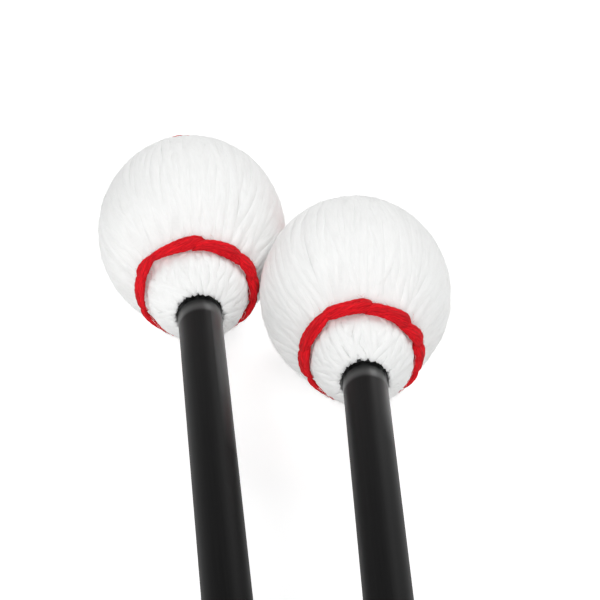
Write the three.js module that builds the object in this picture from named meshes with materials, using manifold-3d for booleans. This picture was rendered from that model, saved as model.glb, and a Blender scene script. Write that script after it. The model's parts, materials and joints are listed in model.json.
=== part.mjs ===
// A matched pair of marimba mallets lying side by side, the yarn heads just touching. All lengths are in
// millimetres and +Z is up. Each mallet is built along its own Y axis, with the head's centre at the origin,
// the crown towards +Y and the shaft towards -Y. It is then laid down so that its head and its butt rest on
// the ground.
import * as THREE from "three";
import { mergeVertices } from "three/addons/utils/BufferGeometryUtils.js";
import Module from "manifold-3d";

const wasm = await Module();
wasm.setup();

// One mallet
const malletLength = 400;
const headDiameter = 38;
const crownHeight = 21.3;
const neckHeight = 29;
const shaftDiameter = 8.7;
const handleDiameter = 9.6;
const taperLength = 105;

// How the pair lies
const headGap = 0.3;
const headLineAngle = THREE.MathUtils.degToRad(38);
const convergeAngle = THREE.MathUtils.degToRad(1.2);

// Shaft, which narrows from its handle to the head
const buttChamfer = 0.6;
const spigotDiameter = 6.4;
const spigotChamfer = 0.5;
const glueGrooveCount = 3;
const glueGrooveWidth = 1.6;
const glueGrooveDepth = 0.35;
const glueGroovePitch = 6;

// Rubber core, whose neck shows as a narrow black collar where the shaft leaves the yarn
const coreDiameter = 24;
const coreLength = 23;
const coreCornerRadius = 6.4;
const coreNeckDiameter = 8.9;
const collarShow = 0.9;
const boreEndWall = 5;

// Latex wrap over the core
const wrapThickness = 1.2;
const wrapHoleMargin = 0.6;

// Yarn: the head is an ellipsoid from the crown to its shoulder, and a cone from there to the shaft-side
// stitching, where it turns into a neck
const shoulderAngle = THREE.MathUtils.degToRad(45);
const underlayerNeckWall = 1.2;
const coverWall = 2.3;
const neckLip = 7;
const neckLipWall = 0.9;
const neckBulgeShare = 0.8;
const strandCount = 36;
const strandRelief = 0.45;
const strandSlant = THREE.MathUtils.degToRad(14);
const crownDimple = 0.8;

// Red stitching: one ring round the shaft side and one round the crown
const shaftSeatRadius = 9.9;
const shaftSeatHeight = 19.5;
const crownSeatRadius = 10.3;
const shaftSeatDepth = 0.15;
const crownSeatDepth = 0.7;
const stitchCount = 8;
const stitchWidth = 2.9;
const stitchThickness = 1.7;
const stitchLapShare = 0.22;
const stitchSlantShare = 0.24;
const stitchTipShare = 0.5;

// Fits
const fit = 0.3;
const overrun = 2;

// Facets
const roundSegments = 24;
const hiddenSegments = 16;
const cornerSteps = 3;
const crownRows = 2;
const bodyRows = 9;
const neckRows = 4;
const stitchRows = 4;
const stitchSides = 6;

const headRadius = headDiameter / 2;
const shaftRadius = shaftDiameter / 2;
const handleRadius = handleDiameter / 2;
const spigotRadius = spigotDiameter / 2;
const coreRadius = coreDiameter / 2;
const coreNeckRadius = coreNeckDiameter / 2;
const openingRadius = coreNeckRadius + fit;
const buttEnd = malletLength - crownHeight;
const collarEnd = neckHeight + collarShow;

const yarnMaterial = new THREE.MeshStandardMaterial({ color: 0xf1f0ec, roughness: 0.95, metalness: 0 });
const underlayerMaterial = new THREE.MeshStandardMaterial({ color: 0xe6e4dc, roughness: 0.95, metalness: 0 });
const stitchMaterial = new THREE.MeshStandardMaterial({ color: 0xc9151f, roughness: 0.9, metalness: 0 });
const rubberMaterial = new THREE.MeshStandardMaterial({ color: 0x161616, roughness: 0.7, metalness: 0 });
const latexMaterial = new THREE.MeshStandardMaterial({ color: 0xc7b184, roughness: 0.8, metalness: 0 });
const shaftMaterial = new THREE.MeshStandardMaterial({ color: 0x141414, roughness: 0.35, metalness: 0 });

// Solids: conversion between three.js geometry and manifold-3d

function toSolid(geometry) {
  const bare = geometry.clone();
  bare.deleteAttribute("normal");
  bare.deleteAttribute("uv");
  const merged = mergeVertices(bare);
  const mesh = new wasm.Mesh({
    numProp: 3,
    vertProperties: merged.attributes.position.array,
    triVerts: new Uint32Array(merged.index.array),
  });
  return new wasm.Manifold(mesh);
}

function toGeometry(solid) {
  const mesh = solid.getMesh();
  const geometry = new THREE.BufferGeometry();
  geometry.setAttribute("position", new THREE.BufferAttribute(mesh.vertProperties, 3));
  geometry.setIndex(new THREE.BufferAttribute(mesh.triVerts, 1));
  geometry.computeVertexNormals();
  return geometry;
}

// A lathe from a profile of radii and heights that runs up the axis, outside last to first
function revolve(profile, segments) {
  return new THREE.LatheGeometry(profile, segments);
}

// A closed skin over rings of equal point counts, with a fan to a tip at each end
function skinOver(rings, firstTip, lastTip) {
  const count = rings[0].length;
  const points = [firstTip, ...rings.flat(), lastTip];
  const last = points.length - 1;
  const indices = [];
  for (let i = 0; i < count; i++) {
    const next = (i + 1) % count;
    indices.push(0, 1 + i, 1 + next);
    for (let row = 0; row < rings.length - 1; row++) {
      const a = 1 + row * count + i;
      const b = 1 + row * count + next;
      indices.push(a, b + count, b, a, a + count, b + count);
    }
    const base = last - count;
    indices.push(last, base + next, base + i);
  }
  const geometry = new THREE.BufferGeometry().setFromPoints(points);
  geometry.setIndex(indices);
  geometry.computeVertexNormals();
  return geometry;
}

// The head's outline

const crownSeatAngle = Math.acos(crownSeatRadius / headRadius);
const shaftSeatPoint = new THREE.Vector2(shaftSeatRadius, -shaftSeatHeight);

// The outward normal of a curve that runs from the crown to the shaft in the plane of radius and height
function outwardNormal(curve, share) {
  const along = curve.getTangentAt(share);
  return new THREE.Vector2(-along.y, along.x);
}

// The outline as four curves, from the crown to the neck's end, for a layer that lies an inset deeper
function outlineCurves(inset, endRadius, endHeight) {
  const across = headRadius - inset;
  const up = crownHeight - inset;
  const cap = new THREE.EllipseCurve(0, 0, across, up, Math.PI / 2, crownSeatAngle, true);
  const body = new THREE.EllipseCurve(0, 0, across, up, crownSeatAngle, -shoulderAngle, true);
  const bodyEnd = body.getPoint(1);
  const outerEnd = new THREE.Vector2(headRadius * Math.cos(shoulderAngle), -crownHeight * Math.sin(shoulderAngle));
  const seatNormal = outwardNormal(new THREE.LineCurve(outerEnd, shaftSeatPoint), 0);
  const seat = shaftSeatPoint.clone().addScaledVector(seatNormal, -inset);
  const shoulder = new THREE.LineCurve(bodyEnd, seat);
  const end = new THREE.Vector2(endRadius, -endHeight);
  const bulge = new THREE.Vector2(
    THREE.MathUtils.lerp(end.x, seat.x, neckBulgeShare),
    THREE.MathUtils.lerp(seat.y, end.y, 1 / 2),
  );
  return { cap, body, shoulder, neck: new THREE.QuadraticBezierCurve(seat, bulge, end) };
}

// The same outline as points for a lathe
function outlinePoints(inset, endRadius, endHeight) {
  const { cap, body, neck } = outlineCurves(inset, endRadius, endHeight);
  const points = [
    ...cap.getSpacedPoints(crownRows),
    ...body.getSpacedPoints(bodyRows).slice(1),
    ...neck.getSpacedPoints(neckRows),
  ];
  points[0].x = 0;
  return points;
}

// A seat for a ring of stitching, where one stretch of the outline meets the next. In a hollow corner the
// ring lies as far out as its edges need.
function seatBetween(before, after, depth) {
  const normal = outwardNormal(before, 1);
  const middle = normal.clone().add(outwardNormal(after, 0)).normalize();
  const reach = stitchWidth * (1 / 2 + stitchSlantShare);
  const rise = reach * Math.sqrt(Math.max(0, 1 - middle.dot(normal) ** 2));
  const point = before.getPoint(1).addScaledVector(middle, -depth);
  return { point, normal: middle, lift: rise + fit + stitchThickness / 2 };
}

const outline = outlineCurves(0, openingRadius + neckLipWall, neckHeight);
const crownSeat = seatBetween(outline.cap, outline.body, crownSeatDepth);
const shaftSeat = seatBetween(outline.shoulder, outline.neck, shaftSeatDepth);

// Shaft: a plain rod with a turned spigot that is glued into the core

function makeShaft() {
  const shoulder = -(collarEnd + fit);
  const spigotTop = coreLength / 2 - boreEndWall - fit;
  const profile = [
    new THREE.Vector2(0, -buttEnd),
    new THREE.Vector2(handleRadius - buttChamfer, -buttEnd),
    new THREE.Vector2(handleRadius, -buttEnd + buttChamfer),
    new THREE.Vector2(handleRadius, shoulder - taperLength),
    new THREE.Vector2(shaftRadius, shoulder),
    new THREE.Vector2(spigotRadius, shoulder),
  ];
  for (let i = glueGrooveCount; i > 0; i--) {
    const middle = spigotTop - i * glueGroovePitch;
    profile.push(
      new THREE.Vector2(spigotRadius, middle - glueGrooveWidth / 2),
      new THREE.Vector2(spigotRadius - glueGrooveDepth, middle),
      new THREE.Vector2(spigotRadius, middle + glueGrooveWidth / 2),
    );
  }
  profile.push(
    new THREE.Vector2(spigotRadius, spigotTop - spigotChamfer),
    new THREE.Vector2(spigotRadius - spigotChamfer, spigotTop),
    new THREE.Vector2(0, spigotTop),
  );
  return revolve(profile, roundSegments);
}

// The rounded barrel of the core, grown by a margin, from its shaft side up to the crown
function barrelOutline(margin) {
  const radius = coreRadius + margin;
  const half = coreLength / 2 + margin;
  const corner = coreCornerRadius + margin;
  const points = [];
  for (const side of [-1, 1]) {
    for (let i = 0; i <= cornerSteps; i++) {
      const turn = ((Math.PI / 2) * i) / cornerSteps;
      const angle = side < 0 ? -Math.PI / 2 + turn : turn;
      const x = radius - corner + corner * Math.cos(angle);
      points.push(new THREE.Vector2(x, side * (half - corner) + corner * Math.sin(angle)));
    }
  }
  return points;
}

// Rubber core: a moulded barrel with a blind bore and a neck that runs out along the shaft
function makeCore() {
  const boreRadius = spigotRadius + fit;
  const boreTop = coreLength / 2 - boreEndWall;
  const profile = [
    new THREE.Vector2(0, boreTop),
    new THREE.Vector2(boreRadius, boreTop),
    new THREE.Vector2(boreRadius, -collarEnd),
    new THREE.Vector2(coreNeckRadius, -collarEnd),
    new THREE.Vector2(coreNeckRadius, -coreLength / 2),
    ...barrelOutline(0),
    new THREE.Vector2(0, coreLength / 2),
  ];
  return revolve(profile, hiddenSegments);
}

// Latex wrap: a thin bag round the barrel, open round the neck
function makeWrap() {
  const hole = coreNeckRadius + wrapHoleMargin;
  const inner = barrelOutline(fit);
  const outer = barrelOutline(fit + wrapThickness);
  const innerEdge = new THREE.Vector2(hole, -(coreLength / 2 + fit));
  const outerEdge = new THREE.Vector2(hole, -(coreLength / 2 + fit + wrapThickness));
  const profile = [
    new THREE.Vector2(0, coreLength / 2 + fit),
    ...inner.reverse(),
    innerEdge,
    outerEdge,
    ...outer,
    new THREE.Vector2(0, coreLength / 2 + fit + wrapThickness),
  ];
  return revolve(profile, hiddenSegments);
}

// Inner yarn winding: fills the space between the wrapped core and the outer yarn
function makeUnderlayer() {
  const bodyMargin = fit + wrapThickness + fit;
  const inner = barrelOutline(bodyMargin);
  const neckEnd = neckHeight - neckLip - fit;
  const outer = outlinePoints(coverWall + fit, openingRadius + underlayerNeckWall, neckEnd);
  const profile = [
    new THREE.Vector2(0, coreLength / 2 + bodyMargin),
    ...inner.reverse(),
    new THREE.Vector2(openingRadius, -(coreLength / 2 + bodyMargin)),
    new THREE.Vector2(openingRadius, -neckEnd),
    ...outer.reverse(),
  ];
  return revolve(profile, hiddenSegments);
}

// Outer yarn: strands run from the crown to the shaft side by side, at a slight slant. Each strand is a
// ridge with a furrow on either side, and the ridges are pressed flat under the two rings of stitching.

// One row round the head at a point of its outline, with the furrows cut in by the relief
function strandRow(point, normal, relief) {
  const ring = [];
  const twist = (Math.tan(strandSlant) * point.y) / headRadius;
  for (let i = 0; i < strandCount * 2; i++) {
    const depth = i % 2 ? relief : 0;
    const radius = point.x - normal.x * depth;
    const angle = (Math.PI * i) / strandCount + twist;
    ring.push(
      new THREE.Vector3(radius * Math.cos(angle), point.y - normal.y * depth, -radius * Math.sin(angle)),
    );
  }
  return ring;
}

// Rows spaced evenly along a curve, from a length past its start to a length before its end. The furrows
// grow shallower where the strands close in.
function rowsAlong(curve, startTrim, endTrim, count) {
  const length = curve.getLength();
  const rows = [];
  for (let i = 0; i < count; i++) {
    const share = THREE.MathUtils.lerp(startTrim, length - endTrim, i / (count - 1)) / length;
    const point = curve.getPointAt(share);
    const relief = Math.min(strandRelief, (2 * point.x) / strandCount);
    rows.push(strandRow(point, outwardNormal(curve, share), relief));
  }
  return rows;
}

function makeCover() {
  const edge = stitchWidth / 2;
  const capStart = outline.cap.getLength() / (crownRows + 1);
  const rings = [
    ...rowsAlong(outline.cap, capStart, edge, crownRows),
    strandRow(crownSeat.point, crownSeat.normal, 0),
    ...rowsAlong(outline.body, edge, 0, bodyRows),
    ...rowsAlong(outline.shoulder, outline.shoulder.getLength() / 2, edge, 2),
    strandRow(shaftSeat.point, shaftSeat.normal, 0),
    ...rowsAlong(outline.neck, edge, 0, neckRows),
  ];
  const crown = new THREE.Vector3(0, crownHeight - crownDimple, 0);
  const outside = toSolid(skinOver(rings, crown, new THREE.Vector3(0, -neckHeight, 0)));
  const inner = outlinePoints(coverWall, openingRadius + underlayerNeckWall + fit, neckHeight - neckLip);
  const cavity = [
    ...inner,
    new THREE.Vector2(openingRadius, -(neckHeight - neckLip)),
    new THREE.Vector2(openingRadius, -(neckHeight + overrun)),
    new THREE.Vector2(0, -(neckHeight + overrun)),
  ].reverse();
  return toGeometry(outside.subtract(toSolid(revolve(cavity, hiddenSegments))));
}

// Stitching: each stitch is a spindle of yarn that lies slanted in its seat and overlaps the next

function makeStitch(seat, index) {
  const normal = seat.normal;
  const centre = seat.point.clone().addScaledVector(normal, seat.lift);
  const across = new THREE.Vector2(normal.y, -normal.x);
  const pitch = (2 * Math.PI) / stitchCount;
  const rings = [];
  const middles = [];
  for (let row = 0; row <= stitchRows; row++) {
    const share = row / stitchRows;
    const angle = pitch * (index + THREE.MathUtils.lerp(-stitchLapShare, 1 + stitchLapShare, share));
    const fullness = THREE.MathUtils.lerp(stitchTipShare, 1, Math.sin(Math.PI * share));
    const slide = stitchWidth * stitchSlantShare * (2 * share - 1);
    const place = (offset, rise) => {
      const point = centre.clone().addScaledVector(across, offset).addScaledVector(normal, rise);
      return new THREE.Vector3(point.x * Math.cos(angle), point.y, -point.x * Math.sin(angle));
    };
    const ring = [];
    for (let i = 0; i < stitchSides; i++) {
      const turn = (2 * Math.PI * i) / stitchSides;
      const offset = slide + (stitchWidth / 2) * fullness * Math.cos(turn);
      ring.push(place(offset, (stitchThickness / 2) * fullness * Math.sin(turn)));
    }
    rings.push(ring);
    middles.push(place(slide, 0));
  }
  return skinOver(rings, middles[0], middles[stitchRows]);
}

function makeStitching(seat) {
  const stitches = [];
  for (let i = 0; i < stitchCount; i++) {
    stitches.push(toSolid(makeStitch(seat, i)));
  }
  return toGeometry(wasm.Manifold.union(stitches));
}

// Assembly

function makeMallet(side) {
  const mallet = new THREE.Group();
  const add = (name, geometry, material) => {
    const mesh = new THREE.Mesh(geometry, material);
    mesh.name = side + "_" + name;
    mallet.add(mesh);
  };
  add("shaft", makeShaft(), shaftMaterial);
  add("core", makeCore(), rubberMaterial);
  add("latex_wrap", makeWrap(), latexMaterial);
  add("yarn_underlayer", makeUnderlayer(), underlayerMaterial);
  add("yarn_cover", makeCover(), yarnMaterial);
  add("shaft_stitching", makeStitching(shaftSeat), stitchMaterial);
  add("crown_stitching", makeStitching(crownSeat), stitchMaterial);
  return mallet;
}

// Lays a mallet down with its butt on the ground, turned and placed by its head's centre
function lieDown(mallet, x, y, turn) {
  mallet.rotation.x = Math.asin((headRadius - handleRadius) / buttEnd);
  const turned = new THREE.Group();
  turned.rotation.z = turn;
  turned.add(mallet);
  turned.updateMatrixWorld(true);
  const lowest = new THREE.Box3().setFromObject(turned, true).min.z;
  turned.position.set(x, y, -lowest);
  return turned;
}

// How far the head reaches from its centre along a line at an angle from its middle plane
function headReach(angle) {
  return 1 / Math.hypot(Math.cos(angle) / headRadius, Math.sin(angle) / crownHeight);
}

function makePair() {
  const halfSpacing = headReach(headLineAngle) + headGap / 2;
  const x = halfSpacing * Math.cos(headLineAngle);
  const y = halfSpacing * Math.sin(headLineAngle);
  const pair = new THREE.Group();
  pair.add(lieDown(makeMallet("left"), -x, y, convergeAngle / 2));
  pair.add(lieDown(makeMallet("right"), x, -y, -convergeAngle / 2));
  pair.updateMatrixWorld(true);
  const box = new THREE.Box3().setFromObject(pair, true);
  const middle = box.getCenter(new THREE.Vector3());
  pair.position.set(-middle.x, -middle.y, -box.min.z);
  const part = new THREE.Group();
  part.add(pair);
  return part;
}

export default makePair();
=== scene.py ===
"""A pair of yarn marimba mallets: wound and stitched heads on satin black rods, seen as in the photograph.

Shapes are worked out in millimetres along each mallet's own axis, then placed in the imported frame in
metres. A point is (across, along, over): the head's centre is at zero, and its crown at the far end.
"""
import json
import math

import bpy
import numpy as np
from mathutils import Matrix, Vector


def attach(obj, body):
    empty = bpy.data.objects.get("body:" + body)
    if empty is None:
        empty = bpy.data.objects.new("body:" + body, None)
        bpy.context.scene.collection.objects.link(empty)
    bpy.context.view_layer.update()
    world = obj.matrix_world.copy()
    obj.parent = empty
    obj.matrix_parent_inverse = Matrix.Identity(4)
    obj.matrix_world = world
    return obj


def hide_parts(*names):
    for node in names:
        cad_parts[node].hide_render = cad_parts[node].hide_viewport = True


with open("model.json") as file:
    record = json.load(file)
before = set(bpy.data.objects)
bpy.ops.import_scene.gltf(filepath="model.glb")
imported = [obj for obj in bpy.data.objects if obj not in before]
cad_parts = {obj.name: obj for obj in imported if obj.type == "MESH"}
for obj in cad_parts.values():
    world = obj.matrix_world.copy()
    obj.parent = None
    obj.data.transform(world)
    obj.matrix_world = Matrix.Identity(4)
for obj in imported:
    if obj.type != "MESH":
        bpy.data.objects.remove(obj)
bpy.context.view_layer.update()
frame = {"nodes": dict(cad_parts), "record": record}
SIDES = ("left", "right")
MM = 0.001
PHASES = (0, 6.28)  # any phase of a wave

# The mallet, in millimetres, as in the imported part. A pair is a radius and a height along the axis from the
# head's centre, and BUTT_END is the butt's distance from it.
HEAD_RADIUS = 19.0
CROWN_HEIGHT = 21.3
SHOULDER_ANGLE = math.radians(42)
SHAFT_SEAT = (11.15, -19.6)
NECK_BULGE = (10.1, -26.9)
NECK_END = (4.1, -29.55)
OPENING_RADIUS = 4.42
SHAFT_RADIUS = 4.35
HANDLE_RADIUS = 4.8
TAPER_START = -30.2
TAPER_END = -135.2
BUTT_END = 378.7
ROD_SHOULDER = -28.4
SPIGOT_RADIUS = 3.2
SPIGOT_END = 6.2
GLUE_GROOVES = (-12.4, -6.4, -0.4)
GLUE_GROOVE_DEPTH = 0.35
GLUE_GROOVE_HALF = 0.8
BORE_RADIUS = 3.5
BORE_END = 6.5
CORE_RADIUS = 12
CORE_HALF = 11.5
CORE_CORNER = 6.4
CORE_LAYERS = 1.8  # the latex wrap and the clearances on the core

# Places where the stitches and the crown press into the yarn: how deep, and how far it spreads
CROWN_SEAT_RADIUS = 10.4
CROWN_SEAT_DEPTH, CROWN_SEAT_SPREAD = 0.6, 1.5
RING_PRESS, RING_PRESS_SPREAD, RING_PRESS_SHIFT = 0.95, 2.1, 0.75
CROWN_DIMPLE, CROWN_DIMPLE_SPREAD = 0.8, 4.5


# Helpers: meshes and placing

def axes_of(side):
    """The head's centre and the rows across, along and over the mallet, from the butt's mount."""
    mount = next(m for m in frame["record"]["mounts"] if m["name"] == side + "_butt_end")
    along = -Vector(mount["axis"]).normalized()
    across = along.cross(Vector((0, 0, 1))).normalized()
    over = across.cross(along)
    centre = Vector(mount["pos_m"]) + along * BUTT_END * MM
    return np.array(centre), np.array([across, along, over])


AXES = {side: axes_of(side) for side in SIDES}


def travel_along(line):
    """How far each point of a line lies from its first one, along it."""
    return np.concatenate([[0], np.cumsum(np.linalg.norm(np.diff(line, axis=0), axis=1))])


def near(run, middle, spread):
    """1 at the middle, falling smoothly to 0 on both sides of it."""
    return np.exp(-(((run - middle) / spread) ** 2))


def smooth(row, times):
    """Eases the kinks of a row of values in place, between its fixed ends."""
    for _ in range(times):
        row[1:-1] = (row[:-2] + 2 * row[1:-1] + row[2:]) / 4


class Pieces:
    """Collects closed tubes and skins into one mesh. Its "lay" says where a point lies on its own yarn."""

    def __init__(self):
        self.points = []
        self.faces = []
        self.lay = []
        self.count = 0

    def add(self, points, faces, lay):
        self.points.append(points)
        self.faces.extend([tuple(i + self.count for i in f) for f in faces])
        self.lay.append(lay)
        self.count += len(points)

    def build(self, name, side, material, slot, replaced=()):
        centre, rows = AXES[side]
        world = centre + MM * (np.vstack(self.points) @ rows)
        mesh = bpy.data.meshes.new(name)
        mesh.from_pydata(world.tolist(), [], self.faces)
        lay = mesh.attributes.new("lay", "FLOAT_VECTOR", "POINT")
        lay.data.foreach_set("vector", np.vstack(self.lay).astype(np.float32).ravel())
        mesh.shade_smooth()
        mesh.materials.append(material)
        obj = bpy.data.objects.new(name, mesh)
        bpy.context.scene.collection.objects.link(obj)
        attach(obj, side + "_mallet")
        if replaced:
            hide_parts(*[side + "_" + n for n in replaced])
        return obj


LAY_SLANT = 0.12


def tube(path, normals, widths, heights, sides, lay_id=0.0, twist=0.0, plies=0, ply_depth=0.0):
    """A closed tube along a path, flat against the surface with those normals, its seam underneath."""
    n = len(path)
    tangents = np.gradient(path, axis=0)
    tangents /= np.linalg.norm(tangents, axis=1)[:, None]
    side_way = np.cross(normals, tangents)
    side_way /= np.linalg.norm(side_way, axis=1)[:, None]
    up_way = np.cross(tangents, side_way)
    travel = travel_along(path)
    turn = -math.pi / 2 + 2 * math.pi * np.arange(sides) / sides
    swell = np.ones((n, sides))
    if plies:
        swell = 1 + ply_depth * np.cos(plies * (turn[None, :] - twist * travel[:, None]))
    out = (widths[:, None] / 2 * np.cos(turn) * swell)[:, :, None] * side_way[:, None, :]
    out = out + (heights[:, None] / 2 * np.sin(turn) * swell)[:, :, None] * up_way[:, None, :]
    rings = path[:, None, :] + out
    around = np.arange(sides) / sides * math.pi * float(np.mean(widths))
    lay = np.zeros((n, sides, 3))
    lay[:, :, 0] = around[None, :] + LAY_SLANT * travel[:, None]
    lay[:, :, 1] = travel[:, None]
    lay[:, :, 2] = lay_id
    points = np.vstack([rings.reshape(-1, 3), path[:1], path[-1:]])
    lays = np.vstack([lay.reshape(-1, 3), lay[:1, 0], lay[-1:, 0]])
    faces = []
    for row in range(n - 1):
        a = row * sides
        for i in range(sides):
            j = (i + 1) % sides
            faces.append((a + i, a + j, a + sides + j, a + sides + i))
    first, last = n * sides, n * sides + 1
    base = (n - 1) * sides
    for i in range(sides):
        j = (i + 1) % sides
        faces.append((first, j, i))
        faces.append((last, base + i, base + j))
    return points, faces, lays


ON_AXIS = 1e-9


def lathe(profile, segments):
    """A closed body turned about the mallet's axis. Its profile ends on the axis, or closes on itself."""
    profile = np.array(profile, float)
    points, faces, lay, rows = [], [], [], []
    turn = 2 * math.pi * np.arange(segments) / segments
    for (radius, height), v in zip(profile, travel_along(profile)):
        start = len(points)
        if radius < ON_AXIS:
            points.append((0, height, 0))
            lay.append((0, v, 0))
            rows.append([start] * segments)
        else:
            for t in turn:
                points.append((radius * math.sin(t), height, radius * math.cos(t)))
                lay.append((radius * t, v, 0))
            rows.append(list(range(start, start + segments)))
    pairs = list(zip(rows[:-1], rows[1:]))
    if profile[0, 0] > ON_AXIS:
        pairs.append((rows[-1], rows[0]))
    for a, b in pairs:
        for i in range(segments):
            j = (i + 1) % segments
            face = tuple(dict.fromkeys([a[i], a[j], b[j], b[i]]))
            if len(face) > 2:
                faces.append(face)
    return np.array(points), faces, np.array(lay)


# The head's outline: radius, height and outward normal by the run, the distance from the crown's pole

BODY_POINTS, SHOULDER_POINTS, NECK_POINTS, OUTLINE_POINTS = 500, 40, 120, 1400
NORMAL_SMOOTHING = 12


def head_outline():
    turns = np.linspace(math.pi / 2, -SHOULDER_ANGLE, BODY_POINTS)
    body = np.column_stack([HEAD_RADIUS * np.cos(turns), CROWN_HEIGHT * np.sin(turns)])
    shoulder = np.linspace(body[-1], SHAFT_SEAT, SHOULDER_POINTS)[1:]
    t = np.linspace(0, 1, NECK_POINTS)[1:, None]
    seat, bulge, end = np.array(SHAFT_SEAT), np.array(NECK_BULGE), np.array(NECK_END)
    neck = (1 - t) ** 2 * seat + 2 * t * (1 - t) * bulge + t**2 * end
    line = np.vstack([body, shoulder, neck])
    travel = travel_along(line)
    even = np.linspace(0, travel[-1], OUTLINE_POINTS)
    radius = np.interp(even, travel, line[:, 0])
    height = np.interp(even, travel, line[:, 1])
    crown_ring = even[np.argmax(radius > CROWN_SEAT_RADIUS)]
    shaft_ring = travel[len(body) + len(shoulder) - 1]
    along = np.gradient(np.column_stack([radius, height]), even, axis=0)
    window = np.ones(2 * NORMAL_SMOOTHING + 1) / (2 * NORMAL_SMOOTHING + 1)
    padded = [np.pad(along[:, k], NORMAL_SMOOTHING, "edge") for k in (0, 1)]
    along = np.column_stack([np.convolve(column, window, "valid") for column in padded])
    along /= np.linalg.norm(along, axis=1)[:, None]
    normal = np.column_stack([-along[:, 1], along[:, 0]])
    press = CROWN_SEAT_DEPTH * near(even, crown_ring, CROWN_SEAT_SPREAD)
    press = press + RING_PRESS * near(even, shaft_ring + RING_PRESS_SHIFT, RING_PRESS_SPREAD)
    press = press + CROWN_DIMPLE * near(even, 0, CROWN_DIMPLE_SPREAD)
    radius = np.maximum(radius - press * normal[:, 0], 0)
    height = height - press * normal[:, 1]
    return even, radius, height, normal, crown_ring, shaft_ring


RUN, RADIUS, HEIGHT, NORMAL, CROWN_RING, SHAFT_RING = head_outline()
RUN_END = RUN[-1]


def on_head(run, angle, depth):
    """Points and outward normals on the head, at runs, angles from the top and depths under its outline."""
    radius = np.interp(run, RUN, RADIUS)
    height = np.interp(run, RUN, HEIGHT)
    nr = np.interp(run, RUN, NORMAL[:, 0])
    nh = np.interp(run, RUN, NORMAL[:, 1])
    r = radius - depth * nr
    s, c = np.sin(angle), np.cos(angle)
    points = np.column_stack([r * s, height - depth * nh, r * c])
    normals = np.column_stack([nr * s, nh, nr * c])
    return points, normals / np.linalg.norm(normals, axis=1)[:, None]


# White yarn: whole turns of yarn that pass beside the crown's pole and come down to the shaft on both sides

LOOPS = 104
LOOP_SCATTER = 0.3
POLE_OFFSETS = (0.4, 3.4)
POLE_SPREAD, POLE_DROP, POLE_RISE = 6.0, 0.9, 0.2
END_TRIMS = (0.0, 0.3)
STRAND_SIDES = 8
ROW_STEP = 1.0
STRAND_ID_STEP = 1.7
# Width and thickness of a strand. It is narrower where the head is, and thicker at the ring.
STRAND_WIDTH, STRAND_WIDTH_POWER = 2.3, 0.4
STRAND_WIDTH_SHARES, STRAND_WIDTH_LIMITS = (0.9, 1.12), (1.4, 2.5)
STRAND_THICK, STRAND_THICK_AT_RING, STRAND_THICK_SHIFTS = 0.66, 0.3, (-0.05, 0.05)
NECK_THINNING = 0.25
RING_REACH = 6.0
# Depth between the topmost and the lowest strand: on the head, and what the ring and the neck add
LAYER_DEPTH, LAYER_AT_RING, LAYER_AT_NECK = 0.24, 0.32, 0.1
# A strand's own sway in its turn about the head, and how far strands cross each other on the neck
SWAYS, SWAY_LENGTHS, SWAY_LEAST_RADIUS = (0.2, 0.45), (22, 40), 6
NECK_CROSSING = 0.26
LAY_POINTS, LAY_LEAST = 3000, 0.02  # steps of the sum, and a floor under its root
# The share of the strands that still lie on top, by the head's radius. The rest sink in under them.
ROOM_RADII, ROOM_SHARES = [5.5, 7, 9.5, 14, 19], [0.36, 0.45, 0.6, 0.88, 1.0]
ROOM_FROM = 4  # this far past the crown's ring
SINK_LENGTH, SINK_DEPTH, SINK_POWER, SINK_NARROWING = 5, 1.5, 1.5, 0.5
# Pleats at the ring. Slow waves about the head make them uneven.
PLEATS = 34
PLEAT_REACH, PLEAT_GATHER, PLEAT_DEPTH = 6.5, 0.55, 0.32
WAVE_COUNTS, WAVE_SIZES = (2, 3, 5, 7), (0.5, 1.4)
# Teeth of the yarn's edge at the rod
FRAYS = 29
FRAY_WAVINESS = 2.5
FRAY_DEPTH = 0.8
FRAY_LEAST, FRAY_WAVES = 0.6, 5
FRAY_REACH = 2.4  # from this far before its end a strand is drawn back
FRAY_GAP = 0.7  # between the rod and the winding under the strands


def lay_angles(offset, runs):
    """The run of a taut strand's nearest place to the pole, and how far it turns from there by each run."""
    grid = np.linspace(0, RUN_END, LAY_POINTS)
    radius = np.interp(grid, RUN, RADIUS)
    start = grid[np.argmax(radius > offset)]
    slope = np.gradient(radius, grid)
    inside = np.maximum(radius**2 - offset**2, LAY_LEAST)
    rate = np.where(grid > start, offset / (np.maximum(radius, offset) * np.sqrt(inside)) * (1 - slope), 0)
    extra = np.concatenate([[0], np.cumsum((rate[1:] + rate[:-1]) / 2 * np.diff(grid))])
    plain = np.arccos(np.clip(offset / np.maximum(radius, offset), -1, 1))
    return start, np.interp(runs, grid, plain + extra)


def strand_room(run):
    """The share of the strands that still lie on top at a run: it falls where the head narrows."""
    room = np.interp(np.interp(run, RUN, RADIUS), ROOM_RADII, ROOM_SHARES)
    return np.where(run < CROWN_RING + ROOM_FROM, 1.0, room)


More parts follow.
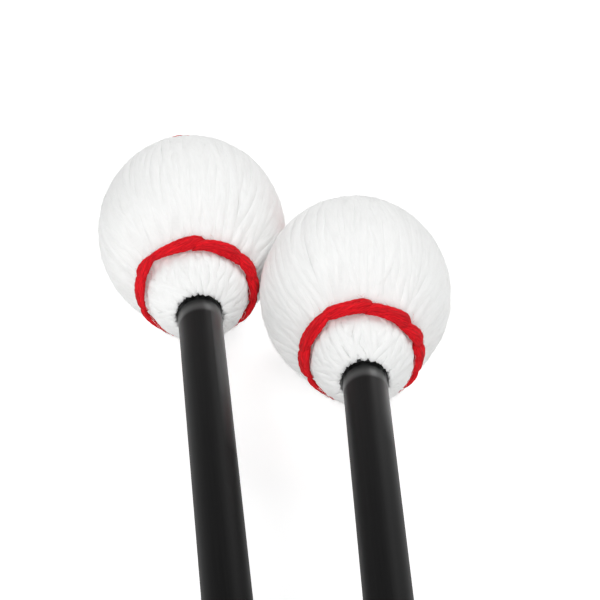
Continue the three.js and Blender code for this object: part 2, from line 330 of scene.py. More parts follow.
def half_strand(rng, offset, end_trim, rank):
    """Runs, turns, depths, widths and heights of one strand from beside the pole to the shaft."""
    start, _ = lay_angles(offset, np.zeros(1))
    last = RUN_END - end_trim
    crowded = strand_room(RUN) < rank
    over = np.argmax(crowded) if crowded.any() else None
    if over:
        last = min(last, RUN[over] + SINK_LENGTH)
    travel = np.arange(0, math.sqrt(last**2 - start**2), ROW_STEP)
    runs = np.sqrt(travel**2 + start**2)
    _, turns = lay_angles(offset, runs)
    radius = np.interp(runs, RUN, RADIUS)
    size, length, phase = rng.uniform(*SWAYS), rng.uniform(*SWAY_LENGTHS), rng.uniform(*PHASES)
    sway = size * np.sin(2 * math.pi * runs / length + phase)
    turns = turns + sway / np.maximum(radius, SWAY_LEAST_RADIUS)
    at_ring = near(runs, SHAFT_RING, RING_REACH)
    on_neck = np.clip((runs - SHAFT_RING) / (RUN_END - SHAFT_RING), 0, 1)
    narrowing = (np.maximum(radius, 3) / HEAD_RADIUS) ** STRAND_WIDTH_POWER
    width = np.clip(STRAND_WIDTH * narrowing * rng.uniform(*STRAND_WIDTH_SHARES), *STRAND_WIDTH_LIMITS)
    thick = STRAND_THICK + STRAND_THICK_AT_RING * at_ring + rng.uniform(*STRAND_THICK_SHIFTS)
    thick = thick * (1 - NECK_THINNING * on_neck)
    turns = turns + rng.normal(0, NECK_CROSSING) * on_neck
    depth = thick / 2 + (LAYER_DEPTH + LAYER_AT_RING * at_ring + LAYER_AT_NECK * on_neck) * rank
    if over:
        sink = np.clip((runs - RUN[over]) / SINK_LENGTH, 0, 1)
        depth = depth + SINK_DEPTH * sink**SINK_POWER
        width = width * (1 - SINK_NARROWING * sink)
    return runs, turns, depth, width, thick


def waviness(turns, waves):
    """Slow waves about the head that make its pleats and frays uneven."""
    return sum(size * np.sin(count * turns + start) for size, count, start in waves)


def gathered(runs, turns, waves):
    """Strands drawn into pleats near the ring: their turns, and how deep they lie between pleats."""
    pull = near(runs, SHAFT_RING, PLEAT_REACH)
    phase = PLEATS * turns + waviness(turns, waves)
    between = PLEAT_DEPTH * pull * (1 - np.cos(phase)) / 2
    return turns - PLEAT_GATHER * pull * np.sin(phase) / PLEATS, between


def frayed(runs, turns, waves):
    """Runs with their last stretch drawn back from the rod in small uneven teeth."""
    phase = FRAYS * turns + FRAY_WAVINESS * waviness(turns, waves)
    uneven = FRAY_LEAST + (1 - FRAY_LEAST) * np.sin(FRAY_WAVES * turns + waves[0][2])
    teeth = FRAY_DEPTH * (0.5 + 0.5 * np.sin(phase)) * uneven
    return runs - teeth * np.clip((runs - RUN_END + FRAY_REACH) / FRAY_REACH, 0, 1)


def white_cover(seed):
    """The outer white yarn of one head."""
    rng = np.random.default_rng(seed)
    pieces = Pieces()
    waves = [(rng.uniform(*WAVE_SIZES), count, rng.uniform(*PHASES)) for count in WAVE_COUNTS]
    order = rng.permutation(LOOPS * 2)
    for k in range(LOOPS):
        offset = rng.uniform(*POLE_OFFSETS)
        hand = 1 if k % 2 else -1
        first = 2 * math.pi * (k + rng.uniform(-LOOP_SCATTER, LOOP_SCATTER)) / LOOPS
        halves = []
        for half in (-1, 1):
            rank = order[2 * k + (half > 0)] / (LOOPS * 2)
            trim = rng.uniform(*END_TRIMS)
            runs, turns, depth, width, thick = half_strand(rng, offset, trim, rank)
            halves.append((runs, first + hand * half * turns, depth, width, thick))
        joined = [np.concatenate([halves[0][i][:0:-1], halves[1][i]]) for i in range(5)]
        runs, turns, depth, width, thick = joined
        depth = depth + near(runs, 0, POLE_SPREAD) * (POLE_DROP * (order[2 * k] / (LOOPS * 2)) - POLE_RISE)
        smooth(depth, 2)
        turns, between = gathered(runs, turns, waves)
        runs = frayed(runs, turns, waves)
        points, normals = on_head(runs, turns, depth + between)
        for array in (width, thick):
            array[[0, -1]] *= 0.5
        pieces.add(*tube(points, normals, width, thick, STRAND_SIDES, lay_id=k * STRAND_ID_STEP))
    return pieces


def barrel(margin):
    """The rounded barrel of the core, grown by a margin, from its crown side down to the shaft."""
    radius, half, corner = CORE_RADIUS + margin, CORE_HALF + margin, CORE_CORNER + margin
    turns = np.linspace(math.pi / 2, 0, 9)
    sideways, upwards = radius - corner + corner * np.cos(turns), half - corner + corner * np.sin(turns)
    top = np.column_stack([sideways, upwards])
    low = top[::-1] * (1, -1)
    return np.vstack([top, low])


# How far the inner winding lies under the outline, by the run, and how deep the gap round the rod goes
GROUND_RUNS, GROUND_DEPTHS = [0, SHAFT_RING - 8, SHAFT_RING, RUN_END], [0.27, 0.27, 0.42, 0.28]
GROUND_STEP = 12  # it takes every twelfth point of the outline
GAP_FLOOR = -25.5


def inner_winding():
    """The winding under the outer yarn, which shows as the ground between the strands."""
    keep = slice(0, len(RUN), GROUND_STEP)
    depth = np.interp(RUN[keep], GROUND_RUNS, GROUND_DEPTHS)
    outer = np.column_stack([RADIUS[keep], HEIGHT[keep]]) - depth[:, None] * NORMAL[keep]
    outer[0, 0] = 0
    opening = OPENING_RADIUS + FRAY_GAP
    outer = outer[(outer[:, 1] > 0) | (outer[:, 0] > opening + 0.05)]
    gap = [(opening, outer[-1][1]), (opening, GAP_FLOOR), (OPENING_RADIUS, GAP_FLOOR)]
    end = CORE_HALF + CORE_LAYERS
    pieces = Pieces()
    pieces.add(*lathe([*outer, *gap, (OPENING_RADIUS, -end), *barrel(CORE_LAYERS)[::-1], (0, end)], 120))
    return pieces


# Red yarn: stitches of several plies that lie in a ring and overlap. A ring's line is a radius and a
# height, and "out" is its direction away from the head.

SHAFT_RING_AT = (11.75, -19.98)
SHAFT_RING_OUT = (0.88, -0.48)
CROWN_RING_AT = {"left": (10.5, 18.18), "right": (10.25, 17.82)}
CROWN_RING_OUT = (0.586, 0.81)
STITCH_WIDTH = 3.0
STITCH_HEIGHT = 1.8
# A narrow place in a stitch is lower too, within these shares, and lies deeper by a share of what it lacks
HEIGHT_SHARES, HEIGHT_POWER, THIN_SINK = (0.2, 1.1), 0.6, 0.35
STITCH_PLIES = 5
STITCH_STEP = 0.4
STITCH_ID_STEP, PLY_ID_STEP = 11.0, 2.3
# Both ends of a stitch dive under its neighbours over this length, to this depth
DIVE_LENGTH, DIVE_DEPTH, DIVE_POWER = 2.0, 0.9, 1.5
# Stitches under the head sink in: degrees from the top, over how many degrees, and how deep
SUNK_FROM, SUNK_OVER, SUNK_DEPTH = 116, 26, 0.5
# Shares of a stitch's width and height that its core and its plies take
CORE_WIDE, CORE_HIGH = 0.86, 0.8
PLY_WIDE, PLY_WIDE_SHARES, PLY_HIGH = 0.44, (0.9, 1.1), 0.52
PLY_TURNS, PLY_SCATTER = (0.9, 1.6), 0.25
TIP_SHARE, TIP_LEAST = 0.06, 0.4
# Each ply is a tube of twisted strands
PLY_SIDES, PLY_TWIST, PLY_STRANDS, PLY_GROOVES = 12, 1.1, 4, 0.09

# Each stitch is a row of marks: degrees from the top, and how far in millimetres its outer and inner edge
# lie from the ring's line, towards the shaft.
SHAFT_RING_STITCHES = {
    "left": [
        [(-186, -0.4, 1.2), (-176, -0.8, 1.5), (-160, -0.6, 1.8), (-150, 0.2, 1.9), (-144, 0.8, 1.8)],
        [(-158, 0.6, 1.4), (-148, -0.2, 1.5), (-132, -0.3, 1.5),
         (-118, -0.1, 1.5), (-108, 0.3, 1.5), (-102, 0.6, 1.3)],
        [(-114, 0.6, 1.3), (-106, 0.2, 1.7), (-97, -0.4, 2.1), (-87, -0.9, 2.3),
         (-78, -1.0, 1.9), (-71, -0.8, 1.4), (-66, -0.4, 0.8)],
        [(-79, -0.6, 0.9), (-72, -1.6, 1.2), (-64, -1.7, 1.5),
         (-56, -1.3, 1.2), (-49, -0.9, 0.5), (-44, -0.6, 0.2)],
        [(134, -0.2, 1.0), (142, -0.8, 1.5), (158, -1.0, 1.6), (172, -0.8, 1.5), (180, -0.2, 1.2)],
        [(92, 0.2, 1.3), (102, -0.2, 1.8), (116, -0.4, 1.7), (130, -0.6, 1.5), (140, -0.2, 1.2)],
        [(70, 0.2, 1.8), (78, -0.8, 2.6), (90, -0.7, 2.7), (98, -0.2, 2.3), (104, 0.5, 1.6)],
        [(40, 0.0, 1.0), (52, -0.7, 2.2), (64, -0.9, 2.3), (75, -1.0, 2.3), (81, -0.5, 1.5)],
        [(-6, 1.0, 2.2), (4, 0.0, 2.3), (14, -0.5, 2.3), (26, -0.6, 2.6),
         (40, -0.8, 2.6), (48, -0.2, 2.4), (52, 0.8, 2.0)],
        [(-58, -0.9, 0.1), (-45, -0.9, 1.1), (-27, -0.7, 1.9),
         (-10, -1.0, 2.2), (2, -1.1, 1.2), (8, -0.6, 0.2)],
    ],
    "right": [
        [(-186, -0.2, 1.4), (-176, -0.6, 1.7), (-158, -0.4, 2.0), (-148, 0.2, 2.0), (-140, 0.8, 1.8)],
        [(-150, 0.8, 1.6), (-138, 0.0, 1.8), (-124, 0.2, 1.9), (-114, 0.6, 1.8), (-109, 0.9, 1.6)],
        [(-118, 0.6, 1.4), (-110, -0.6, 2.0), (-98, -1.0, 2.6),
         (-88, -0.9, 2.7), (-80, -0.2, 2.2), (-76, 0.6, 1.6)],
        [(-90, -0.2, 0.6), (-84, -0.8, 1.6), (-70, -1.0, 2.2), (-57, -0.9, 2.2),
         (-46, -1.0, 2.0), (-38, -0.9, 1.2), (-32, -0.4, 0.4)],
        [(132, 0.2, 1.4), (142, -0.5, 1.8), (158, -0.8, 1.8), (172, -0.6, 1.7), (182, 0.0, 1.4)],
        [(102, 0.8, 1.8), (112, 0.4, 2.2), (128, 0.2, 2.1), (138, 0.6, 1.8)],
        [(74, 0.2, 2.0), (80, -0.6, 2.7), (90, -0.8, 2.9),
         (100, -0.2, 2.8), (108, 0.6, 2.4), (114, 1.2, 2.0)],
        [(44, 0.6, 2.4), (52, 0.0, 2.7), (62, -0.8, 2.5), (74, -1.2, 2.2), (82, -0.9, 1.2)],
        [(2, 0.8, 2.0), (10, -0.6, 2.2), (26, -0.6, 2.4),
         (40, -1.0, 2.6), (49, -1.2, 2.5), (55, -0.8, 1.4)],
        [(-42, -1.2, -0.1), (-34, -1.4, 1.6), (-13, -1.0, 2.0),
         (0, -1.4, 2.1), (6, -1.3, 1.8), (11, -0.7, 0.6)],
    ],
}
CROWN_RING_START = {"left": -20, "right": -10}
CROWN_STITCHES = 10
CROWN_STITCH_SCATTER = 3
CROWN_STITCH_HALVES = (1.25, 1.6)
CROWN_STITCH_SLANTS = (0.2, 0.5)
# Along a crown stitch: the share of its length, and the share of its width there
CROWN_STITCH_MARKS = ((-0.16, 0.3), (0.0, 0.75), (0.3, 1.0), (0.7, 1.0), (1.0, 0.85), (1.14, 0.35))


def crown_ring_stitches(rng, first):
    """Marks for even stitches about the crown."""
    even = [first + 360 / CROWN_STITCHES * i for i in range(CROWN_STITCHES)]
    places = [place + rng.uniform(-CROWN_STITCH_SCATTER, CROWN_STITCH_SCATTER) for place in even]
    stitches = []
    for i, start in enumerate(places):
        end = places[(i + 1) % CROWN_STITCHES] + (360 if i == CROWN_STITCHES - 1 else 0)
        wide = rng.uniform(*CROWN_STITCH_HALVES)
        slant = rng.uniform(*CROWN_STITCH_SLANTS)
        row = []
        for share, full in CROWN_STITCH_MARKS:
            middle = slant * (1 - 2 * share)
            row.append((start + (end - start) * share, middle - wide * full, middle + wide * full))
        stitches.append(row)
    return stitches


def stitch(pieces, rng, at, out, marks, lay_id, sunk):
    """One stitch of several plies that swells and narrows between its marks, and dips at both ends."""
    places, outer, inner = (np.array(column, float) for column in zip(*marks))
    rows = max(16, int(math.radians(places[-1] - places[0]) * at[0] / STITCH_STEP))
    t = np.linspace(0, 1, rows)
    angle = places[0] + (places[-1] - places[0]) * t
    width = np.interp(angle, places, inner - outer)
    middle = np.interp(angle, places, (inner + outer) / 2)
    smooth(width, 4)
    smooth(middle, 4)
    height = STITCH_HEIGHT * np.clip(width / STITCH_WIDTH, *HEIGHT_SHARES) ** HEIGHT_POWER
    under = np.clip((np.abs(angle) - SUNK_FROM) / SUNK_OVER, 0, 1) if sunk else 0.0
    angle = np.radians(angle)
    from_end = np.minimum(t, 1 - t)
    ends = np.clip(from_end * (rows - 1) * STITCH_STEP / DIVE_LENGTH, 0, 1)
    dive = DIVE_DEPTH * (1 - ends) ** DIVE_POWER - (STITCH_HEIGHT - height) * THIN_SINK + SUNK_DEPTH * under
    tip = np.clip(from_end / TIP_SHARE, TIP_LEAST, 1)
    across = (out[1], -out[0])
    normals = np.column_stack([out[0] * np.sin(angle), np.full(rows, out[1]), out[0] * np.cos(angle)])
    turns = rng.uniform(*PLY_TURNS)
    for p in range(STITCH_PLIES + 1):
        core = p == STITCH_PLIES
        turn = 2 * math.pi * p / STITCH_PLIES + rng.uniform(-PLY_SCATTER, PLY_SCATTER) + turns * (t - 0.5)
        sway = 0.0 if core else 1.0
        ply_width = width * (CORE_WIDE if core else PLY_WIDE * rng.uniform(*PLY_WIDE_SHARES))
        ply_height = height * (CORE_HIGH if core else PLY_HIGH)
        off = middle + sway * (width - ply_width) / 2 * np.cos(turn)
        rise = sway * (height - ply_height) / 2 * np.sin(turn) - dive
        r = at[0] + across[0] * off + out[0] * rise
        h = at[1] + across[1] * off + out[1] * rise
        path = np.column_stack([r * np.sin(angle), h, r * np.cos(angle)])
        ply = tube(path, normals, ply_width * tip, ply_height * tip, PLY_SIDES,
                   lay_id + p * PLY_ID_STEP, PLY_TWIST, PLY_STRANDS, PLY_GROOVES)
        pieces.add(*ply)


def red_ring(side, seed, crown):
    """The ring of red stitches at one end of a head."""
    rng = np.random.default_rng(seed)
    pieces = Pieces()
    stitches = crown_ring_stitches(rng, CROWN_RING_START[side]) if crown else SHAFT_RING_STITCHES[side]
    at, out = (CROWN_RING_AT[side], CROWN_RING_OUT) if crown else (SHAFT_RING_AT, SHAFT_RING_OUT)
    for i, marks in enumerate(stitches):
        stitch(pieces, rng, at, out, marks, i * STITCH_ID_STEP, not crown)
    return pieces


# Loose fibres that stand off the yarn

FUZZ_COUNT = 2600
FUZZ_RUNS = (2, RUN_END - 3.4)
FUZZ_CLEAR_OF_RING = 2.4
FUZZ_LEAN = 0.45
FUZZ_SPARED = 0.15  # it thins out where the head narrows, but for this share
FUZZ_LENGTHS, FUZZ_RISES, FUZZ_THICK = (1.2, 3.4), (0.1, 0.38), 0.035
RED_FUZZ_COUNT = 800
RED_FUZZ_START = 0.2
RED_FUZZ_ACROSS = 0.8
RED_FUZZ_LENGTHS, RED_FUZZ_RISES, RED_FUZZ_THICK = (0.5, 1.5), (0.05, 0.3), 0.03
FIBRE_ROOT = 0.05  # how deep a fibre starts in the yarn
FIBRE_SIDES = 3
FIBRE_IDS = (0, 50)
FIBRE_BENDS = (-0.35, 0.35)
FIBRE_TAPER = np.array([0.6, 1, 1, 1, 0.8, 0.4])


def fibre(pieces, rng, start, along, normal, length, rise, thick):
    """One fibre that rises from the yarn in an arc and bends to one side."""
    t = np.linspace(0, 1, len(FIBRE_TAPER))[:, None]
    sideways = np.cross(normal, along)
    bend = rng.uniform(*FIBRE_BENDS) * length
    arc = rise * np.sin(math.pi * t) - FIBRE_ROOT
    path = start + along * length * t + sideways * bend * t**2 + normal * arc
    normals = np.repeat(normal[None, :], len(FIBRE_TAPER), axis=0)
    size = thick * FIBRE_TAPER
    pieces.add(*tube(path, normals, size, size, FIBRE_SIDES, float(rng.uniform(*FIBRE_IDS))))


def white_fuzz(seed):
    """Fibres all over the white yarn, lying roughly along its strands."""
    rng = np.random.default_rng(seed)
    pieces = Pieces()
    for _ in range(FUZZ_COUNT):
        run = float(rng.uniform(*FUZZ_RUNS))
        angle = float(rng.uniform(0, 2 * math.pi))
        if abs(run - SHAFT_RING) < FUZZ_CLEAR_OF_RING:
            continue
        if rng.uniform() > np.interp(run, RUN, RADIUS) / HEAD_RADIUS + FUZZ_SPARED:
            continue
        points, normals = on_head(np.array([run, run + 0.5]), np.full(2, angle), np.full(2, FIBRE_ROOT))
        along = points[1] - points[0]
        along /= np.linalg.norm(along)
        lean = rng.normal(0, FUZZ_LEAN)
        along = along * math.cos(lean) + np.cross(normals[0], along) * math.sin(lean)
        length, rise = rng.uniform(*FUZZ_LENGTHS), rng.uniform(*FUZZ_RISES)
        fibre(pieces, rng, points[0], along, normals[0], length, rise, FUZZ_THICK)
    return pieces


def red_fuzz(side, seed):
    """Fibres on the shaft-side stitches, lying every way."""
    rng = np.random.default_rng(seed)
    pieces = Pieces()
    stitches = SHAFT_RING_STITCHES[side]
    out, across = np.array(SHAFT_RING_OUT), np.array([SHAFT_RING_OUT[1], -SHAFT_RING_OUT[0]])
    for _ in range(RED_FUZZ_COUNT):
        places, outer, inner = zip(*stitches[rng.integers(len(stitches))])
        angle = float(rng.uniform(places[0], places[-1]))
        off = float(rng.uniform(np.interp(angle, places, outer), np.interp(angle, places, inner)))
        angle = math.radians(angle)
        r, h = np.array(SHAFT_RING_AT) + across * off + out * RED_FUZZ_START
        radial = np.array([math.sin(angle), 0, math.cos(angle)])
        tangent = np.array([math.cos(angle), 0, -math.sin(angle)])
        start = radial * r + np.array([0, h, 0])
        normal = radial * out[0] + np.array([0, out[1], 0])
        outwards = radial * across[0] + np.array([0, across[1], 0])
        lean = rng.uniform(0, 2 * math.pi)
        along = tangent * math.cos(lean) + outwards * math.sin(lean) * RED_FUZZ_ACROSS
        along /= np.linalg.norm(along)
        length, rise = rng.uniform(*RED_FUZZ_LENGTHS), rng.uniform(*RED_FUZZ_RISES)
        fibre(pieces, rng, start, along, normal, length, rise, RED_FUZZ_THICK)
    return pieces


# Materials

def new_material(name):
    material = bpy.data.materials.new(name)
    material.use_nodes = True
    nodes, links = material.node_tree.nodes, material.node_tree.links
    nodes.clear()
    output = nodes.new("ShaderNodeOutputMaterial")
    shader = nodes.new("ShaderNodeBsdfPrincipled")
    links.new(shader.outputs[0], output.inputs["Surface"])
    return material, nodes, links, shader


def fibre_noise(nodes, links, scale, detail=3.0):
    """Noise drawn out along the yarn."""
    lay = nodes.new("ShaderNodeAttribute")
    lay.attribute_name = "lay"
    mapping = nodes.new("ShaderNodeMapping")
    mapping.inputs["Scale"].default_value = scale
    noise = nodes.new("ShaderNodeTexNoise")
    noise.inputs["Scale"].default_value = 1.0
    noise.inputs["Detail"].default_value = detail
    links.new(lay.outputs["Vector"], mapping.inputs["Vector"])
    links.new(mapping.outputs["Vector"], noise.inputs["Vector"])
    return noise


def ramp(nodes, links, source, stops):
    """A colour ramp. A stop is a place and a colour, or one level for a grey."""
    node = nodes.new("ShaderNodeValToRGB")
    elements = node.color_ramp.elements
    while len(elements) < len(stops):
        elements.new(0.5)
    for element, (place, colour) in zip(elements, stops):
        element.position = place
        element.color = (*colour, 1) if isinstance(colour, tuple) else (colour, colour, colour, 1)
    links.new(source, node.inputs["Fac"])
    return node


def add_bump(nodes, links, shader, source, strength, distance):
    bump = nodes.new("ShaderNodeBump")
    bump.inputs["Strength"].default_value = strength
    bump.inputs["Distance"].default_value = distance * MM
    links.new(source, bump.inputs["Height"])
    links.new(bump.outputs["Normal"], shader.inputs["Normal"])


# Scales of the noise: across the yarn or rod, along it, and from one yarn to the next
FINE_FIBRES, BROAD_FIBRES, ROD_STREAKS = (9.0, 0.55, 1.0), (1.2, 0.16, 0.7), (2.2, 0.05, 1.0)


def yarn_material(name, light, dark, sheen, specular, patch):
    """Matt yarn, streaked along its fibres from dark to light, and paler and darker in patches."""
    material, nodes, links, shader = new_material(name)
    fine = fibre_noise(nodes, links, FINE_FIBRES)
    broad = fibre_noise(nodes, links, BROAD_FIBRES, 2.0)
    colour = ramp(nodes, links, fine.outputs["Fac"], [(0.3, dark), (0.62, light)])
    tint = ramp(nodes, links, broad.outputs["Fac"], [(0.3, patch), (0.65, 1.0)])
    mix = nodes.new("ShaderNodeMix")
    mix.data_type = "RGBA"
    mix.blend_type = "MULTIPLY"
    mix.inputs["Factor"].default_value = 1.0
    links.new(colour.outputs["Color"], mix.inputs["A"])
    links.new(tint.outputs["Color"], mix.inputs["B"])
    links.new(mix.outputs["Result"], shader.inputs["Base Color"])
    add_bump(nodes, links, shader, fine.outputs["Fac"], 0.5, 0.12)
    shader.inputs["Roughness"].default_value = 0.92
    shader.inputs["Specular IOR Level"].default_value = specular
    shader.inputs["Sheen Weight"].default_value = sheen
    shader.inputs["Sheen Roughness"].default_value = 0.5
    return material


# The rod's finish by the place along it, from 0 at the first height to 1 at the second
FINISH_FROM, FINISH_TO = -140.0, -30.0
ROD_COLOURS = [(0.35, (0.0035, 0.0035, 0.0037)), (0.65, (0.0055, 0.0055, 0.0057))]
# Specular level along the rod: a painted reflection in a band just under the yarn, and painted shade in the
# gloss, lower towards the handle
PAINTED_ROD_REFLECTION = [(0.0, 0.028), (0.6, 0.045), (0.971, 0.07), (0.978, 0.5), (0.986, 0.65), (0.995, 0.25)]
ROD_ROUGHNESS = [(0.0, 0.46), (0.85, 0.42), (0.972, 0.3)]
ROD_UNEVENNESS = 0.1
ROD_MEAN_SPECULAR = 0.06
# A strip on the rod's right side near the head with a raised specular level, a painted reflection: its level
# along the rod, and its share across it
PAINTED_REFLECTION_STRIP = {
    "left": [(0.55, 0.0), (0.72, 0.35), (0.84, 1.0)],
    "right": [(0.76, 0.0), (0.88, 0.2)],
}
PAINTED_STRIP_ACROSS = [(0.42, 0.0), (0.86, 1.0)]


def rod_material(side):
    """Satin black. Its specular level is painted reflection: raised in a band just under the yarn and in a
    strip on its right side near the head, and lower towards the handle, where it is rougher too.
    """
    material, nodes, links, shader = new_material(side + "_satin_black_rod")
    streak = fibre_noise(nodes, links, ROD_STREAKS)
    colour = ramp(nodes, links, streak.outputs["Fac"], ROD_COLOURS)
    links.new(colour.outputs["Color"], shader.inputs["Base Color"])
    lay = nodes.new("ShaderNodeAttribute")
    lay.attribute_name = "lay"
    split = nodes.new("ShaderNodeSeparateXYZ")
    links.new(lay.outputs["Vector"], split.inputs["Vector"])
    along = nodes.new("ShaderNodeMapRange")
    along.inputs["From Min"].default_value = FINISH_FROM
    along.inputs["From Max"].default_value = FINISH_TO
    links.new(split.outputs["Y"], along.inputs["Value"])
    # painted reflection and painted shade: the specular level along the rod
    level = ramp(nodes, links, along.outputs["Result"], PAINTED_ROD_REFLECTION)
    # painted reflection: a strip of raised specular level on the rod's right side near the head
    reflection_strip = ramp(nodes, links, along.outputs["Result"], PAINTED_REFLECTION_STRIP[side])
    across = nodes.new("ShaderNodeMapRange")
    across.inputs["From Max"].default_value = SHAFT_RADIUS
    links.new(split.outputs["X"], across.inputs["Value"])
    strip = ramp(nodes, links, across.outputs["Result"], PAINTED_STRIP_ACROSS)
    # the painted reflection strip raises the specular level across the rod's right side
    painted_reflection = nodes.new("ShaderNodeMix")
    painted_reflection.data_type = "RGBA"
    painted_reflection.blend_type = "LIGHTEN"
    links.new(strip.outputs["Color"], painted_reflection.inputs["Factor"])
    links.new(level.outputs["Color"], painted_reflection.inputs["A"])
    links.new(reflection_strip.outputs["Color"], painted_reflection.inputs["B"])
    shader.inputs["Specular IOR Level"].default_value = ROD_MEAN_SPECULAR
    links.new(painted_reflection.outputs["Result"], shader.inputs["Specular IOR Level"])
    rough = ramp(nodes, links, along.outputs["Result"], ROD_ROUGHNESS)
    uneven = nodes.new("ShaderNodeMix")
    uneven.data_type = "RGBA"
    uneven.inputs["Factor"].default_value = ROD_UNEVENNESS
    links.new(rough.outputs["Color"], uneven.inputs["A"])
    links.new(streak.outputs["Fac"], uneven.inputs["B"])
    links.new(uneven.outputs["Result"], shader.inputs["Roughness"])
    return material


def cloudy_material(name, scale, dark, light, roughness, grain=0.0):
    """A plain material, a little uneven in colour, and in its surface where it has a grain."""
    material, nodes, links, shader = new_material(name)
    cloud = nodes.new("ShaderNodeTexNoise")
    cloud.inputs["Scale"].default_value = scale
    place = nodes.new("ShaderNodeTexCoord")
    links.new(place.outputs["Object"], cloud.inputs["Vector"])
    colour = ramp(nodes, links, cloud.outputs["Fac"], [(0.3, dark), (0.7, light)])
    links.new(colour.outputs["Color"], shader.inputs["Base Color"])
    if grain:
        add_bump(nodes, links, shader, cloud.outputs["Fac"], 0.3, grain)
    shader.inputs["Roughness"].default_value = roughness
    return material


WHITE = yarn_material("white_yarn", light=(0.955, 0.96, 0.953), dark=(0.92, 0.925, 0.918),
                      sheen=0.3, specular=0.25, patch=0.97)
GROUND = yarn_material("inner_yarn", light=(0.945, 0.95, 0.943), dark=(0.91, 0.915, 0.908),
                       sheen=0.2, specular=0.25, patch=0.97)
RED = yarn_material("red_yarn", light=(0.92, 0.012, 0.022), dark=(0.44, 0.003, 0.008),
                    sheen=0.03, specular=0.15, patch=0.7)
ROD = {side: rod_material(side) for side in SIDES}
RUBBER = cloudy_material("moulded_rubber", 2500.0, 0.02, 0.032, roughness=0.7, grain=0.05)
LATEX = cloudy_material("tan_latex", 400.0, (0.48, 0.37, 0.19), (0.6, 0.48, 0.27), roughness=0.6)


# The camera, as fitted to the photograph's outlines

SENSOR = 36
LENS = 278.7
YAW, PITCH, ROLL = math.radians(-4.097), math.radians(33.197), math.radians(0.816)
CAMERA_AT = Vector((-0.05037, -0.60246, 0.52241))


def add_camera():
    forward = Vector((-math.sin(YAW) * math.cos(PITCH), math.cos(YAW) * math.cos(PITCH), -math.sin(PITCH)))
    level = Vector((math.cos(YAW), math.sin(YAW), 0))
    upright = level.cross(forward)
    right = level * math.cos(ROLL) + upright * math.sin(ROLL)
    up = upright * math.cos(ROLL) - level * math.sin(ROLL)
    data = bpy.data.cameras.new("camera")
    data.sensor_width = SENSOR
    data.lens = LENS
    data.clip_start = 0.01
    data.clip_end = 50
    camera = bpy.data.objects.new("camera", data)
    rotation = Matrix((right, up, -forward)).transposed()
    camera.matrix_world = Matrix.Translation(CAMERA_AT) @ rotation.to_4x4()
    bpy.context.scene.collection.objects.link(camera)
    bpy.context.scene.camera = camera


# Light and ground: round lamps in an even white surround, and a floor that glows to the photo's plain white

LAMP_TARGET = (0, 0.17, 0.02)
# Name, place, size and power of each lamp
LAMPS = (
    ("key", (-0.1, -0.8, 0.6), 0.9, 5.3),
    ("left", (-0.65, -0.35, 0.75), 0.6, 2.7),
    ("back", (0.55, 0.75, 0.7), 0.6, 3.7),
)
AMBIENT = 0.44
FLOOR_GLOW = 0.46
FLOOR_REACH, FLOOR_LEVEL = 12.0, -0.00005


def add_lamp(name, place, size, power):
    data = bpy.data.lights.new(name, "AREA")
    data.shape = "DISK"
    data.size = size
    data.energy = power
    lamp = bpy.data.objects.new(name, data)
    lamp.location = place
    lamp.rotation_euler = (Vector(LAMP_TARGET) - Vector(place)).to_track_quat("-Z", "Y").to_euler()
    bpy.context.scene.collection.objects.link(lamp)


def seen_straight(nodes, links):
    """1 for rays from the camera, off gloss and through glass, and 0 for the rest."""
    path = nodes.new("ShaderNodeLightPath")
    total = path.outputs["Is Camera Ray"]
    for other in ("Is Glossy Ray", "Is Transmission Ray"):
        add = nodes.new("ShaderNodeMath")
        add.operation = "MAXIMUM"
        links.new(total, add.inputs[0])
        links.new(path.outputs[other], add.inputs[1])
        total = add.outputs[0]
    return total


def add_world():
    """A white surround that lights the mallets less than it shows."""
    world = bpy.data.worlds.new("studio")
    bpy.context.scene.world = world
    world.use_nodes = True
    nodes, links = world.node_tree.nodes, world.node_tree.links
    background = nodes["Background"]
    background.inputs["Color"].default_value = (1, 1, 1, 1)
    strength = nodes.new("ShaderNodeMapRange")
    strength.inputs["To Min"].default_value = AMBIENT
    strength.inputs["To Max"].default_value = 1.0
    links.new(seen_straight(nodes, links), strength.inputs["Value"])
    links.new(strength.outputs["Result"], background.inputs["Strength"])


def add_floor():
    mesh = bpy.data.meshes.new("floor")
    signs = ((-1, -1), (1, -1), (1, 1), (-1, 1))
    corners = [(x * FLOOR_REACH, y * FLOOR_REACH, FLOOR_LEVEL) for x, y in signs]
    mesh.from_pydata(corners, [], [(0, 1, 2, 3)])
    floor = bpy.data.objects.new("floor", mesh)
    bpy.context.scene.collection.objects.link(floor)
    material, nodes, links, shader = new_material("pale_floor")
    shader.inputs["Base Color"].default_value = (0.93, 0.93, 0.93, 1)
    shader.inputs["Roughness"].default_value = 0.9
    shader.inputs["Emission Color"].default_value = (1, 1, 1, 1)
    glow = nodes.new("ShaderNodeMath")
    glow.operation = "MULTIPLY"
    glow.inputs[1].default_value = FLOOR_GLOW
    links.new(seen_straight(nodes, links), glow.inputs[0])
    links.new(glow.outputs[0], shader.inputs["Emission Strength"])
    mesh.materials.append(material)


# Building

# The butt's chamfer: how far inside the handle's radius, and how far from the end
BUTT_CHAMFER = [(-0.72, 0), (-0.55, 0.05), (-0.1, 0.5), (-0.03, 0.62), (0, 0.8)]


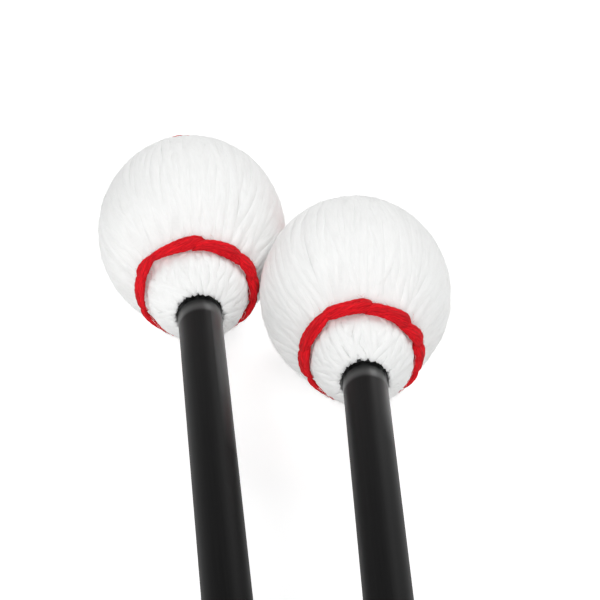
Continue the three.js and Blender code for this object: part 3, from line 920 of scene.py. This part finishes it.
def rod():
    """The shaft: a chamfered butt, the handle, the taper, and the grooved spigot that sits in the core."""
    profile = [(0, -BUTT_END)] + [(HANDLE_RADIUS + dr, dh - BUTT_END) for dr, dh in BUTT_CHAMFER]
    profile += [(HANDLE_RADIUS, h) for h in np.linspace(-360, TAPER_END, 6)]
    profile += [(SHAFT_RADIUS, h) for h in (TAPER_START, ROD_SHOULDER - 0.1)]
    profile += [(SHAFT_RADIUS - 0.1, ROD_SHOULDER), (SPIGOT_RADIUS, ROD_SHOULDER)]
    for middle in GLUE_GROOVES:
        for step, depth in ((-1, 0), (0, GLUE_GROOVE_DEPTH), (1, 0)):
            profile.append((SPIGOT_RADIUS - depth, middle + step * GLUE_GROOVE_HALF))
    profile += [(SPIGOT_RADIUS, SPIGOT_END - 0.5), (SPIGOT_RADIUS - 0.5, SPIGOT_END), (0, SPIGOT_END)]
    points, faces, lay = lathe(profile, 96)
    lay[:, :2] = points[:, :2]
    pieces = Pieces()
    pieces.add(points, faces, lay)
    return pieces


def rubber_core():
    """The moulded barrel with its neck round the rod and its blind bore."""
    neck_end = ROD_SHOULDER + 0.3
    neck = [(4.8, -CORE_HALF), (SHAFT_RADIUS, -13.0), (SHAFT_RADIUS, neck_end)]
    bore = [(BORE_RADIUS, neck_end), (BORE_RADIUS, BORE_END), (0, BORE_END)]
    profile = [(0, CORE_HALF), *barrel(0), *neck, *bore]
    pieces = Pieces()
    pieces.add(*lathe(profile[::-1], 72))
    return pieces


# The seed of each random piece of the left mallet. The right one's is one more.
SEEDS = {"winding": 40, "white_fuzz": 20, "red_fuzz": 30, "shaft_ring": 60, "crown_ring": 80}

for number, side in enumerate(SIDES):
    seed = {piece: first + number for piece, first in SEEDS.items()}
    rod().build(side + "_rod", side, ROD[side], "shaft", ["shaft"])
    rubber_core().build(side + "_rubber_core", side, RUBBER, "rubber", ["core"])
    white_cover(seed["winding"]).build(side + "_white_winding", side, WHITE, "white_yarn", ["yarn_cover"])
    white_fuzz(seed["white_fuzz"]).build(side + "_white_fuzz", side, WHITE, "white_yarn")
    red_fuzz(side, seed["red_fuzz"]).build(side + "_red_fuzz", side, RED, "red_yarn")
    inner_winding().build(side + "_inner_winding", side, GROUND, "inner_yarn", ["yarn_underlayer"])
    shaft_ring = red_ring(side, seed["shaft_ring"], crown=False)
    shaft_ring.build(side + "_shaft_stitches", side, RED, "red_yarn", ["shaft_stitching"])
    crown_ring = red_ring(side, seed["crown_ring"], crown=True)
    crown_ring.build(side + "_crown_stitches", side, RED, "red_yarn", ["crown_stitching"])
    wrap = frame["nodes"][side + "_latex_wrap"]
    wrap.data.materials.clear()
    wrap.data.materials.append(LATEX)

add_camera()
add_world()
add_floor()
for lamp in LAMPS:
    add_lamp(*lamp)
bpy.context.scene.view_settings.view_transform = "Standard"
